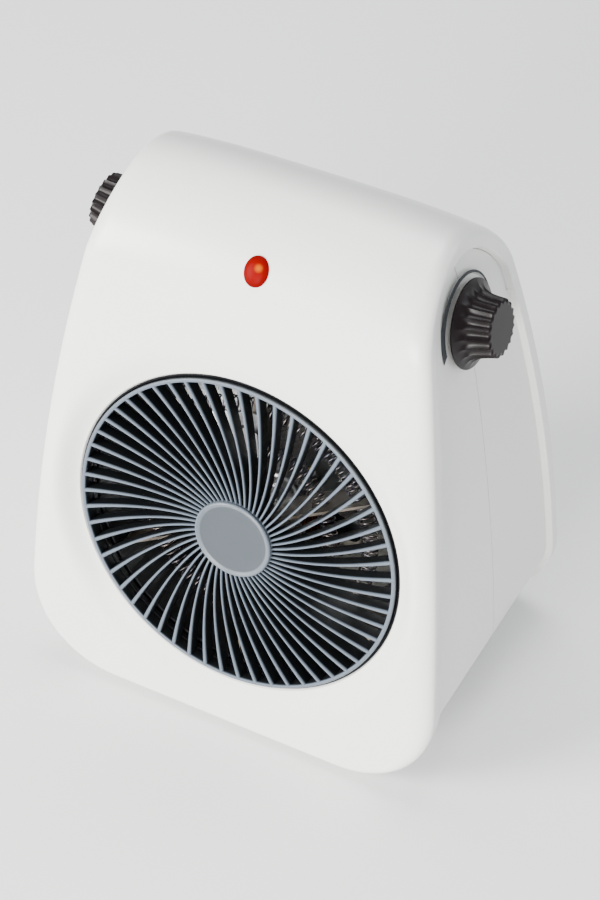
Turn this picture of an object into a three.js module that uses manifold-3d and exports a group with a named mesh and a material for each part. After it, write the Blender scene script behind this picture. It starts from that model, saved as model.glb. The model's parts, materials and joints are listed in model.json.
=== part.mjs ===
// A compact upright fan heater: wire-coil heater and axial fan behind a round spiral grille.
// Millimetres, +Z up, front towards -Y, origin under the middle of the footprint.
import * as THREE from "three";
import { mergeVertices } from "three/addons/utils/BufferGeometryUtils.js";
import Module from "manifold-3d";

const wasm = await Module();
wasm.setup();

// ---- Driving dimensions ----
const GAP = 0.3; // air between neighbouring pieces
const ROUND = 40; // facets round the large circles
const FOOT_HEIGHT = 3; // the rubber feet lift the housing by this much

const BODY_HEIGHT = 254.7; // housing alone, without feet
const BASE_HALF_WIDTH = 105.7;
const TAPER = 30.3; // how much narrower each side is at the very top
const TAPER_POWER = 1.81;
const LOWER_CORNER = 45; // radius of the two lower corners, seen from the front
const UPPER_CORNER = 9;
const TOP_DROP = 5; // the top edge bows down by this much towards the sides

const HALF_DEPTH = 72;
const FRONT_SLOPE = 0.0607; // front face: y = -HALF_DEPTH + slope z + bow z^2
const FRONT_BOW = 0.000427;
const BACK_SLOPE = 0.0318;
const BACK_BOW = 0.000391;
const CAP_START = 219.6; // above this height the front and back close in a half ellipse

const WALL = 3;
const RIM_WALL = 6; // the band's edge is this thick, so the side panels can sit inside it
const PANEL_RECESS = 3;
const PANEL_TOP_RIM = 6;
const PANEL_FRONT_RIM = 24;
const PANEL_BACK_RIM = 8;
const SEAM_Y = 3.8; // plane where the front and rear covers meet on the sides
const BAND_END_Z = 205; // the front cover's top band laps over the back down to here

const GRILLE_Z = 104.6;
const OPENING_RADIUS = 81;
const DISH_RADIUS = 95; // the face starts to dip towards the opening here
const COLLAR_BACK = -17;
const BEZEL_OUTER = 80.5;
const BEZEL_INNER = 78.2;
const GRILLE_OUTER = 77.8;
const GRILLE_INNER = 75.2;
const GRILLE_FACE = -5; // along the fan axis, from the tangent plane of the front face
const GRILLE_DEPTH = 6;
const BLADES = 55;
const SPIRAL = THREE.MathUtils.degToRad(15); // the blades sweep this angle per e-fold of radius
const BLADE_WIDTH_INNER = 1.5;
const BLADE_WIDTH_OUTER = 2.7;
const HUB_RADIUS = 18.8;
const HUB_STEM = 5.4;

const COIL_PITCH_RADII = [36, 56];
const COIL_RADIUS = 4;
const COIL_DEPTH = -26;
const MICA_FRONT = -17;
const MICA_BACK = -37;
const MICA_RADIUS = 73.8;
const MICA_SHEET = 1.2;

const DUCT_INNER = 74.5;
const DUCT_FRONT = -15;
const DUCT_BACK = -66;
const DUCT_SHEET = 1;
const DUCT_MOUTH = 67;

const FAN_RADIUS = 64;
const FAN_DEPTH = -52;
const FAN_HUB = 11;
const FAN_FRONT = -44.5;
const FAN_BLADES = 5;
const BLADE_SHEET = 1.2;
const FAN_PITCH = THREE.MathUtils.degToRad(27);
const SHAFT_RADIUS = 2;
const BOLT_X = 22;

const KNOB_Y = 2.8;
const KNOB_Z = 213.3;
const KNOB_FLANGE = 19.2;
const KNOB_GRIP = 12;
const KNOB_LENGTH = 14.4;
const KNOB_FLUTES = 20;
const KNOB_STANDOFF = 0.5; // air between the knob and the side panel
const FLUTE_DEPTH = 1.2;
const SPINDLE_RADIUS = 3;
const SPINDLE_REACH = 9; // into the knob

const LENS_Z = 234.7;
const LENS_HALF_WIDTH = 6.3;
const LENS_HALF_HEIGHT = 7.6;
const LENS_RISE = 3.2;

const PLATE_HALF_X = 52;
const PLATE_HALF_Y = 52;

// ---- Profiles of the housing ----
const frontY = (z) => -HALF_DEPTH + FRONT_SLOPE * z + FRONT_BOW * z * z;
const backY = (z) => HALF_DEPTH - BACK_SLOPE * z - BACK_BOW * z * z;
const halfWidth = (z) => BASE_HALF_WIDTH - TAPER * Math.pow(Math.max(z, 0) / BODY_HEIGHT, TAPER_POWER);
const LEAN = Math.atan(FRONT_SLOPE + 2 * FRONT_BOW * GRILLE_Z);

// Side profile at height z: the two faces, closed over by a half ellipse at the top.
// The rims draw the front and back in, as on the recessed side panels.
function profileAt(z, frontRim = 0, backRim = 0) {
  const front = frontY(z) + frontRim;
  const back = backY(z) - backRim;
  const rise = Math.min(Math.max((z - CAP_START) / (BODY_HEIGHT - CAP_START), 0), 1);
  const half = ((back - front) / 2) * Math.sqrt(1 - rise * rise);
  return { front: (front + back) / 2 - half, back: (front + back) / 2 + half };
}

const range = (n) => Array.from({ length: n }, (_, i) => i);
const lerp = THREE.MathUtils.lerp;

// Heights at which the side profile is sampled: evenly up the faces, then closer together over the top.
function profileHeights() {
  const faces = range(6).map((i) => (CAP_START * i) / 6);
  const cap = range(6).map((i) => lerp(CAP_START, BODY_HEIGHT, Math.sin((i / 6) * (Math.PI / 2))));
  return [...faces, ...cap];
}

// Outline in the YZ plane, drawn inwards by the given insets.
function sideOutline(inset = 0, frontInset = inset, backInset = inset, floorInset = inset) {
  const zs = profileHeights();
  const squeeze = (z) => lerp(floorInset, BODY_HEIGHT - inset, z / BODY_HEIGHT);
  const front = zs.map((z) => new THREE.Vector2(profileAt(z).front + frontInset, squeeze(z)));
  const back = zs.map((z) => new THREE.Vector2(profileAt(z).back - backInset, squeeze(z)));
  const crown = (profileAt(BODY_HEIGHT).front + frontInset - backInset + profileAt(BODY_HEIGHT).back) / 2;
  const ring = [...front, new THREE.Vector2(crown, BODY_HEIGHT - inset), ...back.reverse()];
  return new THREE.Shape(ring.filter((p, i) => i === 0 || p.distanceTo(ring[i - 1]) > 0.05).reverse());
}

// Outline in the XZ plane: a tapered shield with large lower corners and a bowed top.
function frontOutline(inset = 0, floorInset = inset) {
  const low = LOWER_CORNER;
  const cornerX = halfWidth(low) - low;
  const right = range(5).map((i) => new THREE.Vector2(
    cornerX + (low - inset) * Math.sin((i / 5) * (Math.PI / 2)),
    low - (low - floorInset) * Math.cos((i / 5) * (Math.PI / 2)),
  ));
  const shoulder = BODY_HEIGHT - TOP_DROP - UPPER_CORNER;
  range(6).forEach((i) => {
    const z = lerp(low, shoulder, i / 5);
    right.push(new THREE.Vector2(halfWidth(z) - inset, z));
  });
  const topX = halfWidth(shoulder) - UPPER_CORNER;
  range(3).forEach((i) => {
    const a = ((i + 1) / 3) * (Math.PI / 2);
    right.push(new THREE.Vector2(
      topX + (UPPER_CORNER - inset * 0.9) * Math.cos(a),
      shoulder + (UPPER_CORNER - inset) * Math.sin(a),
    ));
  });
  [0.7, 0.35].forEach((s) => {
    right.push(new THREE.Vector2(topX * s, BODY_HEIGHT - inset - TOP_DROP * s * s));
  });
  const left = right.map((p) => new THREE.Vector2(-p.x, p.y)).reverse();
  return new THREE.Shape([...right, new THREE.Vector2(0, BODY_HEIGHT - inset), ...left]);
}

// ---- Solids ----
const X = new THREE.Vector3(1, 0, 0);
const Y = new THREE.Vector3(0, 1, 0);
const Z = new THREE.Vector3(0, 0, 1);

function solid(geometry) {
  const bare = geometry.clone();
  bare.deleteAttribute("normal");
  bare.deleteAttribute("uv");
  const merged = mergeVertices(bare, 1e-3);
  return new wasm.Manifold(new wasm.Mesh({
    numProp: 3,
    vertProperties: merged.attributes.position.array,
    triVerts: new Uint32Array(merged.index.array),
  }));
}

function geometryOf(made) {
  const mesh = made.getMesh();
  const geometry = new THREE.BufferGeometry();
  geometry.setAttribute("position", new THREE.BufferAttribute(Float32Array.from(mesh.vertProperties), 3));
  geometry.setIndex(new THREE.BufferAttribute(mesh.triVerts, 1));
  geometry.computeVertexNormals();
  return geometry;
}

const join = (first, ...rest) => geometryOf(rest.reduce((a, g) => a.add(solid(g)), solid(first)));
const cut = (first, ...rest) => geometryOf(rest.reduce((a, g) => a.subtract(solid(g)), solid(first)));
const common = (a, b) => geometryOf(solid(a).intersect(solid(b)));

// A shape in the XY plane pushed along +Z from z0 to z1.
function slab(shape, z0, z1, curveSegments = 12) {
  const options = { depth: z1 - z0, bevelEnabled: false, curveSegments, steps: 1 };
  return new THREE.ExtrudeGeometry(shape, options).translate(0, 0, z0);
}

// A YZ shape pushed along X, or an XZ shape pushed along Y, centred on the middle plane.
function alongX(shape, x0, x1) {
  return slab(shape, x0, x1).applyMatrix4(new THREE.Matrix4().makeBasis(Y, Z, X));
}
function alongY(shape, y0, y1) {
  return slab(shape, -y1, -y0).applyMatrix4(new THREE.Matrix4().makeBasis(X, Z, Y.clone().negate()));
}

// A profile of [radius, height] pairs turned about Z; it starts and ends on the axis or is a closed loop.
function turned(pairs, segments = 16) {
  const points = pairs.map(([r, h]) => new THREE.Vector2(r, h));
  return new THREE.LatheGeometry(points, segments).rotateX(Math.PI / 2);
}
const rod = (radius, z0, z1, segments = 16) =>
  turned([[0, z0], [radius, z0], [radius, z1], [0, z1]], segments);
const tube = (inner, outer, z0, z1, segments = 16) =>
  turned([[inner, z0], [outer, z0], [outer, z1], [inner, z1], [inner, z0]], segments);
const block = (x0, x1, y0, y1, z0, z1) =>
  new THREE.BoxGeometry(x1 - x0, y1 - y0, z1 - z0).translate((x0 + x1) / 2, (y0 + y1) / 2, (z0 + z1) / 2);

const pointingY = (geometry) => geometry.rotateX(-Math.PI / 2);

function roundedRectangle(x0, x1, y0, y1, r) {
  const shape = new THREE.Shape();
  shape.absarc(x1 - r, y0 + r, r, -Math.PI / 2, 0);
  shape.absarc(x1 - r, y1 - r, r, 0, Math.PI / 2);
  shape.absarc(x0 + r, y1 - r, r, Math.PI / 2, Math.PI);
  shape.absarc(x0 + r, y0 + r, r, Math.PI, 1.5 * Math.PI);
  shape.closePath();
  return shape;
}

function circleHole(x, y, r) {
  const hole = new THREE.Path();
  hole.absarc(x, y, r, 0, 2 * Math.PI, true);
  return hole;
}

// ---- Materials ----
const finish = (color, roughness, metalness = 0) =>
  new THREE.MeshStandardMaterial({ color, roughness, metalness });
const materials = {
  shell: () => finish(0xe6e7e4, 0.35),
  grille: () => finish(0x8f99a6, 0.5),
  dark: () => finish(0x2c2d31, 0.55),
  knob: () => finish(0x2a2326, 0.4),
  lens: () => finish(0xd8101a, 0.12),
  glass: () => finish(0xe8ded0, 0.1),
  steel: () => finish(0xa9adb0, 0.35, 1),
  aluminium: () => finish(0xc9ccd0, 0.3, 1),
  lamination: () => finish(0x5b5f63, 0.5, 1),
  copper: () => finish(0x9c4a24, 0.4, 1),
  wire: () => finish(0x6e675f, 0.45, 1),
  mica: () => finish(0xb9a27c, 0.6),
  brass: () => finish(0xb8923f, 0.35, 1),
  ceramic: () => finish(0xe7e2d6, 0.45),
  rubber: () => finish(0x1b1b1c, 0.85),
  plastic: () => finish(0x3a3b3e, 0.5),
};

const part = new THREE.Group();
const body = new THREE.Group(); // heights inside count from the underside of the housing
body.position.z = FOOT_HEIGHT;
part.add(body);

// Fan frame: +Z out through the grille along the fan axis, +Y up the face, origin on the front face.
const fanFrame = new THREE.Group();
fanFrame.position.set(0, frontY(GRILLE_Z), GRILLE_Z);
fanFrame.rotation.x = Math.PI / 2 - LEAN;
body.add(fanFrame);
fanFrame.updateMatrix();
const inBody = (geometry) => geometry.applyMatrix4(fanFrame.matrix);

function piece(parent, name, geometry, material) {
  const mesh = new THREE.Mesh(geometry, materials[material]());
  mesh.name = name;
  parent.add(mesh);
  return mesh;
}

// ---- Housing ----
const REACH = 140; // past the housing on every side

const PANEL_TOP = BODY_HEIGHT - TOP_DROP - PANEL_TOP_RIM;

// The housing's outer form as one block, drawn in by a wall front and back, a rim at the sides and a floor.
const housingBlock = (wall = 0, rim = wall, floor = wall) => common(
  alongX(sideOutline(wall), -REACH, REACH),
  alongY(frontOutline(rim, floor), -REACH, REACH),
);

// Outline of the side panel at a height counted on the housing's own profile, drawn in by its rims.
function panelAt(z) {
  const fade = Math.min(z / CAP_START, 1);
  const ends = profileAt(z, lerp(PANEL_FRONT_RIM, PANEL_BACK_RIM, fade), PANEL_BACK_RIM);
  return { ...ends, z: (z * PANEL_TOP) / BODY_HEIGHT };
}

// The side region behind the seam, under the arch of the top band; grown by `grow` all round.
function rearRegion(grow) {
  const seam = SEAM_Y - grow;
  const arch = profileHeights().map(panelAt)
    .filter((p) => p.z > BAND_END_Z + 2 && p.back > seam + 2)
    .map((p) => new THREE.Vector2(p.back + grow, p.z + grow));
  const ring = [
    new THREE.Vector2(seam, -REACH),
    new THREE.Vector2(REACH, -REACH),
    new THREE.Vector2(REACH, BAND_END_Z + grow),
    new THREE.Vector2(backY(BAND_END_Z) - PANEL_BACK_RIM + grow, BAND_END_Z + grow),
    ...arch,
    new THREE.Vector2(seam, PANEL_TOP + grow),
  ];
  return alongX(new THREE.Shape(ring), -REACH, REACH);
}

// What is cut away outside the side panels, so that they sit inside the band's rim.
function panelRecess() {
  const ends = profileHeights().map(panelAt);
  const ring = [
    new THREE.Vector2(ends[0].front, -REACH),
    new THREE.Vector2(ends[0].back, -REACH),
    ...ends.map((p) => new THREE.Vector2(p.back, p.z)),
    ...ends.map((p) => new THREE.Vector2(p.front, p.z)).reverse(),
  ];
  const inside = alongY(frontOutline(PANEL_RECESS, 0), -REACH, REACH);
  return cut(alongX(new THREE.Shape(ring), -REACH, REACH), inside);
}

// The ring of the front cover around the grille: it dips from the face down to a short inner collar.
function dishRing() {
  const ring = turned([
    [OPENING_RADIUS, COLLAR_BACK], [OPENING_RADIUS + WALL, COLLAR_BACK], [OPENING_RADIUS + WALL, -11],
    [90, -8], [DISH_RADIUS + 2, -7], [DISH_RADIUS + 2, -2.4], [90, -3.4], [85, -4.8],
    [OPENING_RADIUS, -7], [OPENING_RADIUS, COLLAR_BACK],
  ], ROUND);
  return common(inBody(ring), housingBlock());
}

// What makes room for that ring in the front face.
function dishCutter() {
  return inBody(turned([
    [0, -40], [DISH_RADIUS, -40], [DISH_RADIUS, -2.6], [DISH_RADIUS + 4, 1.5], [DISH_RADIUS + 4, 30], [0, 30],
  ], ROUND));
}

const SCREW_PLACES = [
  { name: "lower_left", x: -72, z: 30 },
  { name: "lower_right", x: 72, z: 30 },
  { name: "upper_left", x: -44, z: 192 },
  { name: "upper_right", x: 44, z: 192 },
];
const SCREW_SEAT_Y = 12;
const SCREW_TIP_Y = -9;
const SCREW_SHANK = 1.2;
const SCREW_HEAD = 3.3;
const SCREW_WELL = 3.8;
const FRONT_POST = 4.5;
const REAR_POST = 5.6;
const rodY = (x, z, r, y0, y1) => pointingY(rod(r, y0, y1, 12)).translate(x, 0, z);

const platePocket = () =>
  block(-PLATE_HALF_X, PLATE_HALF_X, -PLATE_HALF_Y, PLATE_HALF_Y, -1, WALL + 1);

function housingShell() {
  const shell = cut(housingBlock(), housingBlock(WALL, RIM_WALL, WALL), panelRecess(), platePocket());
  const spindleHoles = [-1, 1].map((side) =>
    rod(SPINDLE_RADIUS + 2, -12, 12, 20).applyMatrix4(controlMatrix(side)));
  return cut(shell, ...spindleHoles);
}

// Where a control sits: on the leaning side panel, +Z out through it. Side is 1 on the right, -1 on the left.
function controlMatrix(side) {
  const step = 1;
  const narrowing = (halfWidth(KNOB_Z - step) - halfWidth(KNOB_Z + step)) / (2 * step);
  const turn = new THREE.Matrix4().makeRotationY(side * (Math.PI / 2 - Math.atan(narrowing)));
  return turn.setPosition(side * (halfWidth(KNOB_Z) - PANEL_RECESS), KNOB_Y, KNOB_Z);
}

// Where the lens sits: a frame on the curved top of the front face, +Z outwards.
function lensMatrix() {
  const step = 0.5;
  const rise = profileAt(LENS_Z + step).front - profileAt(LENS_Z - step).front;
  const tilt = Math.atan(rise / (2 * step));
  const turn = new THREE.Matrix4().makeRotationX(Math.PI / 2 - tilt);
  return turn.setPosition(0, profileAt(LENS_Z).front, LENS_Z);
}
const ovalRod = (halfWidthX, halfHeight, z0, z1) =>
  rod(1, z0, z1, 28).scale(halfWidthX, halfHeight, 1).applyMatrix4(lensMatrix());

// Screw posts run from the faces to the seam, so they are trimmed by a block just inside the outer skin.
const screwPosts = (radius, y0, y1) => SCREW_PLACES.map((s) =>
  common(rodY(s.x, s.z, radius, y0, y1), housingBlock(1, RIM_WALL - 1, 1)));

function frontCover(shell) {
  const posts = screwPosts(FRONT_POST, -90, SEAM_Y - GAP / 2);
  const made = join(cut(cut(shell, rearRegion(GAP / 2)), dishCutter()), dishRing(), ...posts);
  const lensHole = ovalRod(LENS_HALF_WIDTH + GAP, LENS_HALF_HEIGHT + GAP, -9, 9);
  const pilots = SCREW_PLACES.map((s) => rodY(s.x, s.z, SCREW_SHANK + GAP, SCREW_TIP_Y - 3, 20));
  return cut(made, lensHole, ...pilots);
}

// Two columns of horizontal intake slots at the height of the fan.
const SLOT_ROWS = 11;
const SLOT_PITCH = 11;
const SLOT_HEIGHT = 4.6;
const SLOT_FIRST_Z = 44;
const SLOT_INNER_X = 3;
const SLOT_OUTER_X = 62;
const SLOT_ROUNDING = 0.62; // the columns' outer ends follow an oval this many column heights high

function intakeSlots() {
  const middle = (SLOT_ROWS - 1) / 2;
  return range(SLOT_ROWS).flatMap((row) => {
    const z = SLOT_FIRST_Z + row * SLOT_PITCH;
    const reach = SLOT_OUTER_X * Math.sqrt(1 - Math.pow((row - middle) / (SLOT_ROWS * SLOT_ROUNDING), 2));
    return [-1, 1].map((side) => {
      const ends = [side * SLOT_INNER_X, side * reach].sort((a, b) => a - b);
      return block(ends[0], ends[1], 40, 90, z, z + SLOT_HEIGHT);
    });
  });
}

const CORD = { x: 46, z: 24, radius: 6.4 };

function rearCover(shell) {
  const posts = screwPosts(REAR_POST, SEAM_Y + GAP / 2, 90);
  const wells = SCREW_PLACES.map((s) => rodY(s.x, s.z, SCREW_WELL, SCREW_SEAT_Y, 90));
  const passages = SCREW_PLACES.map((s) => rodY(s.x, s.z, SCREW_SHANK + 2 * GAP, -10, 40));
  const made = join(common(shell, rearRegion(-GAP / 2)), ...posts);
  return cut(made, ...wells, ...passages, ...intakeSlots(), rodY(CORD.x, CORD.z, CORD.radius + GAP, 50, 90));
}

const shell = housingShell();
piece(body, "front_cover", frontCover(shell), "shell");
piece(body, "rear_cover", rearCover(shell), "shell");

SCREW_PLACES.forEach((s) => {
  const screw = turned([
    [0, SCREW_TIP_Y], [SCREW_SHANK, SCREW_TIP_Y + 2], [SCREW_SHANK, SCREW_SEAT_Y + GAP],
    [SCREW_HEAD, SCREW_SEAT_Y + GAP], [SCREW_HEAD - GAP, SCREW_SEAT_Y + 2.6], [0, SCREW_SEAT_Y + 2.9],
  ], 12);
  piece(body, "housing_screw_" + s.name, pointingY(screw).translate(s.x, 0, s.z), "steel");
});

// The cord itself is not part of this model: only the bushing that it comes in through.
function cordBushing() {
  const wall = backY(CORD.z);
  const made = turned([
    [3.6, wall - WALL - 4], [CORD.radius + 1.6, wall - WALL - 4], [CORD.radius + 1.6, wall - WALL - 1.2],
    [CORD.radius, wall - WALL - 1.2], [CORD.radius, wall - 0.6], [4.6, wall - 0.6], [3.6, wall - 2],
    [3.6, wall - WALL - 4],
  ], 16);
  return pointingY(made).translate(CORD.x, 0, CORD.z);
}
piece(body, "cord_bushing", cordBushing(), "rubber");

// ---- Base plate and feet ----
const FOOT_X = 42;
const FOOT_Y = 42;
const PLATE_SCREW_Y = 46;
const FOOT_PLACES = [
  { name: "front_left", x: -FOOT_X, y: -FOOT_Y }, { name: "front_right", x: FOOT_X, y: -FOOT_Y },
  { name: "rear_left", x: -FOOT_X, y: FOOT_Y }, { name: "rear_right", x: FOOT_X, y: FOOT_Y },
];

const FOOT_STEM = 3;
const PLATE_SCREW_SHANK = 1.4;
const PLATE_FLANGE = { reach: 4, thickness: 1.8 };

// A plate in the floor's opening, held from inside by a flange all round.
function basePlate() {
  const plate = (grow, radius, z0, z1) => slab(roundedRectangle(
    -PLATE_HALF_X - grow, PLATE_HALF_X + grow, -PLATE_HALF_Y - grow, PLATE_HALF_Y + grow, radius,
  ), z0, z1, 4);
  const lower = plate(-GAP, 3, 0, WALL + GAP);
  const flange = plate(PLATE_FLANGE.reach, 6, WALL + GAP, WALL + GAP + PLATE_FLANGE.thickness);
  const footHoles = FOOT_PLACES.map((f) => rod(FOOT_STEM + GAP, -1, 9, 12).translate(f.x, f.y, 0));
  const screwHoles = [-1, 1].map((side) =>
    rod(PLATE_SCREW_SHANK + GAP, -1, 9, 12).translate(0, side * PLATE_SCREW_Y, 0));
  return cut(join(lower, flange), ...footHoles, ...screwHoles);
}
piece(body, "base_plate", basePlate(), "shell");

FOOT_PLACES.forEach((f) => {
  const foot = turned([
    [0, -FOOT_HEIGHT], [7, -FOOT_HEIGHT], [8, -FOOT_HEIGHT + 1], [8, -GAP], [FOOT_STEM, -GAP],
    [FOOT_STEM, 7.4], [4.2, 7.4], [FOOT_STEM, 9], [0, 9],
  ], 14);
  piece(body, "foot_" + f.name, foot.translate(f.x, f.y, 0), "rubber");
});

["front", "rear"].forEach((end, i) => {
  const screw = turned([
    [0, -2.2], [2.9, -1.9], [SCREW_HEAD, -GAP], [PLATE_SCREW_SHANK, -GAP], [PLATE_SCREW_SHANK, 9], [0, 10],
  ], 12);
  piece(body, "base_screw_" + end, screw.translate(0, (2 * i - 1) * PLATE_SCREW_Y, 0), "steel");
});

// ---- Grille ----
const spiralAngle = (r) => SPIRAL * Math.log(r / GRILLE_INNER);
const bladeWidth = (r) => lerp(BLADE_WIDTH_INNER, BLADE_WIDTH_OUTER, Math.pow(Math.max(r - 45, 0) / 30, 1.4));

// One gap between two spiral blades: out along one blade, round the rim, back along the next.
function grilleGap(index) {
  const steps = 3;
  const inner = HUB_RADIUS + 1.6;
  const turn = (2 * Math.PI) / BLADES;
  const edge = (r, side) => {
    const a = index * turn + spiralAngle(r) + side * (turn / 2 - bladeWidth(r) / (2 * r));
    return new THREE.Vector2(r * Math.cos(a), r * Math.sin(a));
  };
  const radii = range(steps + 1).map((i) => lerp(inner, GRILLE_INNER, Math.pow(i / steps, 1.2)));
  const out = radii.map((r) => edge(r, -1));
  const back = radii.map((r) => edge(r, 1)).reverse();
  return new THREE.Path([...out, ...back].reverse());
}

function frontGrille() {
  const disc = new THREE.Shape();
  disc.absarc(0, 0, GRILLE_OUTER, 0, 2 * Math.PI);
  disc.holes.push(...range(BLADES).map(grilleGap));
  disc.holes.push(circleHole(0, 0, HUB_STEM + 2 * GAP));
  return slab(disc, GRILLE_FACE - GRILLE_DEPTH, GRILLE_FACE, ROUND / 2);
}

piece(fanFrame, "front_grille", frontGrille(), "grille");

// An angle ring: its back flange carries the grille, its wall closes the joint to the front cover.
const BEZEL_FACE = -6.4;
const BEZEL_SEAT = GRILLE_FACE - GRILLE_DEPTH - 0.4;
const BEZEL_BACK = -14.5;
piece(fanFrame, "grille_bezel", turned([
  [GRILLE_INNER - 0.4, BEZEL_BACK], [BEZEL_OUTER, BEZEL_BACK], [BEZEL_OUTER, BEZEL_FACE - 0.8],
  [BEZEL_OUTER - 0.6, BEZEL_FACE], [BEZEL_INNER, BEZEL_FACE], [BEZEL_INNER, BEZEL_SEAT],
  [GRILLE_INNER - 0.4, BEZEL_SEAT], [GRILLE_INNER - 0.4, BEZEL_BACK],
], ROUND), "dark");

const HUB_BACK = GRILLE_FACE + 0.4;
const HUB_FACE = HUB_BACK + 0.8;
const HUB_RIM = HUB_BACK + 1.3;
piece(fanFrame, "grille_hub_cap", turned([
  [0, -14], [HUB_STEM, -14], [HUB_STEM, HUB_BACK], [HUB_RADIUS, HUB_BACK], [HUB_RADIUS, HUB_RIM - 0.6],
  [HUB_RADIUS - 0.7, HUB_RIM], [HUB_RADIUS - 1.6, HUB_RIM], [HUB_RADIUS - 2.4, HUB_FACE], [0, HUB_FACE],
], 28), "grille");

// ---- Indicator lamp ----
// A domed lens with a skirt through the front face; the neon lamp behind it sits in a tube.
function lensDome() {
  const dome = range(4).map((i) => {
    const a = (i / 4) * (Math.PI / 2);
    return [Math.cos(a), LENS_RISE * Math.sin(a)];
  });
  const made = turned([[0, -1], [0.75, -1], [0.75, -5.5], [1, -5.5], ...dome, [0, LENS_RISE]], 20);
  return made.scale(LENS_HALF_WIDTH, LENS_HALF_HEIGHT, 1).applyMatrix4(lensMatrix());
}
piece(body, "indicator_lens", lensDome(), "lens");
const LAMP_RADIUS = 3;
const holder = tube(LAMP_RADIUS + 0.4, LAMP_RADIUS + 2.4, -16, -8, 20);
piece(body, "lamp_holder", holder.applyMatrix4(lensMatrix()), "plastic");
const lamp = turned([[0, -19], [LAMP_RADIUS, -19], [LAMP_RADIUS, -7.5], [2.2, -5.8], [0, -5.2]], 16);
piece(body, "neon_lamp", lamp.applyMatrix4(lensMatrix()), "glass");

// ---- Controls: thermostat on the right, heat selector on the left ----
function knob() {
  const flare = turned([
    [0, 6], [SPINDLE_RADIUS + GAP, 6], [SPINDLE_RADIUS + GAP, 0], [KNOB_FLANGE - 0.8, 0], [KNOB_FLANGE, 1.2],
    [KNOB_FLANGE - 2.2, 2.4], [KNOB_GRIP + 1.8, 4.8], [KNOB_GRIP + 0.4, 7.5], [0, 7.5],
  ], 24);
  const points = KNOB_FLUTES * 2;
  const outline = range(points).map((i) => {
    const a = (i / points) * 2 * Math.PI;
    const r = i % 2 ? KNOB_GRIP - FLUTE_DEPTH : KNOB_GRIP;
    return new THREE.Vector2(r * Math.cos(a), r * Math.sin(a));
  });
  const grip = slab(new THREE.Shape(outline), 6.5, KNOB_LENGTH);
  const bore = rod(SPINDLE_RADIUS + GAP, -1, SPINDLE_REACH + 1, 16);
  return cut(join(flare, grip), bore).translate(0, 0, KNOB_STANDOFF);
}

// Heights in these pieces count outwards from the panel's outer face; its inner face is at -WALL.
const PLATE_BACK = -8;
const PLATE_FRONT = -6.5;
const BODY_BACK = -28;
const NECK_RADIUS = 4;

const spindle = () => rod(SPINDLE_RADIUS, BODY_BACK + 2, KNOB_STANDOFF + SPINDLE_REACH, 16);
function controlBody() {
  const box = slab(roundedRectangle(-13, 13, -12, 12, 3), BODY_BACK, PLATE_BACK - GAP, 3);
  const neck = rod(NECK_RADIUS, PLATE_BACK - 1, -WALL - 0.6, 16);
  return cut(join(box, neck), rod(SPINDLE_RADIUS + GAP, BODY_BACK + 1, 0, 16));
}
function controlPlate() {
  const shape = roundedRectangle(-17, 17, -15, 15, 3);
  shape.holes.push(circleHole(0, 0, NECK_RADIUS + 2 * GAP));
  return slab(shape, PLATE_BACK, PLATE_FRONT, 5);
}
function hexNut(inner, flats, z0, z1) {
  const shape = new THREE.Shape(range(6).map((i) => {
    const a = (i / 6) * 2 * Math.PI;
    return new THREE.Vector2((flats / Math.sqrt(3)) * Math.cos(a), (flats / Math.sqrt(3)) * Math.sin(a));
  }));
  shape.holes.push(circleHole(0, 0, inner));
  return slab(shape, z0, z1, 6);
}

[["thermostat", 1, "ceramic"], ["selector", -1, "plastic"]].forEach(([name, side, caseMaterial]) => {
  const frame = new THREE.Group();
  frame.applyMatrix4(controlMatrix(side));
  body.add(frame);
  piece(frame, name + "_knob", knob(), "knob");
  piece(frame, name + "_spindle", spindle(), "steel");
  piece(frame, name + "_body", controlBody(), caseMaterial);
  piece(frame, name + "_plate", controlPlate(), "steel");
  piece(frame, name + "_nut", hexNut(NECK_RADIUS + 2 * GAP, 13, PLATE_FRONT + GAP, -WALL - GAP), "brass");
});

// ---- Air duct and heater ----
// A sheet drum: a lip turned in at the back round the fan's inlet, and a collar that stops on the cover.
const DUCT_OUTER = DUCT_INNER + DUCT_SHEET;
const DUCT_COLLAR = { radius: 80, front: COLLAR_BACK - 2 * GAP };
piece(fanFrame, "air_duct", turned([
  [DUCT_INNER, DUCT_FRONT], [DUCT_INNER, DUCT_BACK], [DUCT_MOUTH, DUCT_BACK],
  [DUCT_MOUTH, DUCT_BACK - DUCT_SHEET], [DUCT_OUTER, DUCT_BACK - DUCT_SHEET],
  [DUCT_OUTER, DUCT_COLLAR.front - DUCT_SHEET], [DUCT_COLLAR.radius, DUCT_COLLAR.front - DUCT_SHEET],
  [DUCT_COLLAR.radius, DUCT_COLLAR.front], [DUCT_OUTER, DUCT_COLLAR.front],
  [DUCT_OUTER, DUCT_FRONT], [DUCT_INNER, DUCT_FRONT],
], 36), "steel");

// Three mica sheets crossing on the fan axis, with round windows that the coils pass through.
function micaFrame() {
  const sheets = range(3).map((i) =>
    block(-MICA_RADIUS, MICA_RADIUS, -MICA_SHEET / 2, MICA_SHEET / 2, MICA_BACK, MICA_FRONT)
      .rotateZ((i * Math.PI) / 3 + Math.PI / 6));
  const windows = COIL_PITCH_RADII.map((r) => coilRing(r, COIL_RADIUS + 0.5));
  return cut(join(...sheets), ...windows);
}

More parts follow.
